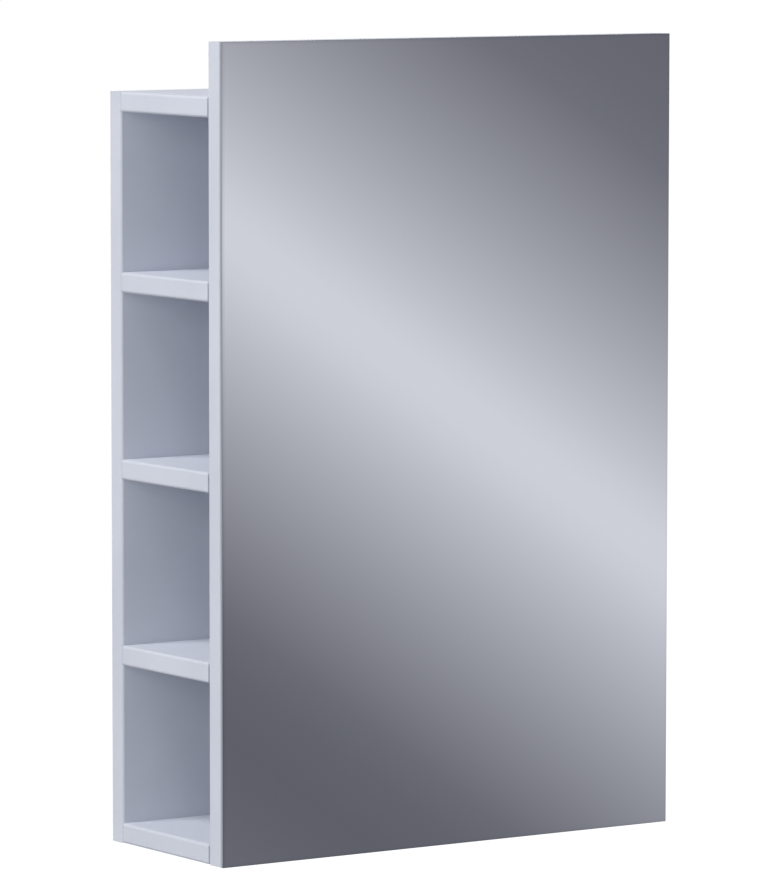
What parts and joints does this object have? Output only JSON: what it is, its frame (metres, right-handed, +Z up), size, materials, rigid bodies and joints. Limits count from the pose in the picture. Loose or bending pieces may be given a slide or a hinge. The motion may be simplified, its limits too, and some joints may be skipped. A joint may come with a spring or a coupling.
{
  "type": "mirror cabinet",
  "caption": "Wall cabinet with a mirror door on concealed hinges, open side niches and a closed section with adjustable shelves.",
  "frame": {"origin": "under the middle of the cabinet, half way between the mirror's face and the wall, at the height of the bottom edge", "axes": "the mirror faces -Y, the wall is at +Y, +Z is up and +X is towards the hinged side"},
  "size_m": [0.4, 0.155, 0.6],
  "materials": {
    "white_board": "matt white laminate with banded edges",
    "mirror": "silvered glass, edges ground and polished",
    "hinge_steel": "nickel plated pressed steel",
    "screw_steel": "zinc plated",
    "dowel_wood": "plain beech",
    "white_plastic": "matt",
    "pad_rubber": "soft and clear"
  },
  "bodies": {
    "cabinet": {"back_panel": "white_board", "top_board": "white_board", "bottom_board": "white_board", "right_side": "white_board", "partition": "white_board", "niche_shelf_lower": "white_board", "niche_shelf_middle": "white_board", "niche_shelf_upper": "white_board", "inner_shelf_lower": "white_board", "inner_shelf_upper": "white_board", "shelf_supports": "screw_steel", "dowels": "dowel_wood", "back_screws": "screw_steel", "side_screws": "screw_steel", "cover_caps": "white_plastic", "bumper_pads": "pad_rubber", "hinge_plate_lower": "hinge_steel", "hinge_plate_upper": "hinge_steel", "plate_screws": "screw_steel", "hinge_arm_lower": "hinge_steel", "hinge_arm_upper": "hinge_steel", "arm_pins": "screw_steel", "fixing_screws": "screw_steel", "adjusting_screws": "screw_steel"},
    "inner_link_lower": {"inner_link_lower": "hinge_steel"},
    "inner_link_upper": {"inner_link_upper": "hinge_steel"},
    "outer_link_lower": {"outer_link_lower": "hinge_steel"},
    "outer_link_upper": {"outer_link_upper": "hinge_steel"},
    "door": {"door_board": "white_board", "mirror_glass": "mirror", "hinge_cup_lower": "hinge_steel", "hinge_cup_upper": "hinge_steel", "cup_pins": "screw_steel", "cup_screws": "screw_steel"}
  },
  "joints": [
    {"name": "inner_link_lower_turn", "type": "hinge", "parent": "cabinet", "child": "inner_link_lower", "pos_m": [0.1605, -0.0335, 0.09], "axis": [0, 0, 1], "range_deg": [-33, 0]},
    {"name": "door_swing", "type": "hinge", "parent": "inner_link_lower", "child": "door", "pos_m": [0.18975, -0.0611, 0.09], "axis": [0, 0, 1], "range_deg": [0, 122.8]},
    {"name": "outer_link_lower_turn", "type": "hinge", "parent": "cabinet", "child": "outer_link_lower", "pos_m": [0.155, -0.0535, 0.09], "axis": [0, 0, 1], "range_deg": [-37, 0]},
    {"name": "inner_link_upper_turn", "type": "hinge", "parent": "cabinet", "child": "inner_link_upper", "pos_m": [0.1605, -0.0335, 0.47], "axis": [0, 0, 1], "range_deg": [-33, 0]},
    {"name": "outer_link_upper_turn", "type": "hinge", "parent": "cabinet", "child": "outer_link_upper", "pos_m": [0.155, -0.0535, 0.47], "axis": [0, 0, 1], "range_deg": [-37, 0]}
  ],
  "couplings": [
    {"joint": "inner_link_lower_turn", "follows": "door_swing", "ratio": -0.2674},
    {"joint": "outer_link_lower_turn", "follows": "door_swing", "ratio": -0.2996},
    {"joint": "inner_link_upper_turn", "follows": "door_swing", "ratio": -0.2674},
    {"joint": "outer_link_upper_turn", "follows": "door_swing", "ratio": -0.2996}
  ]
}
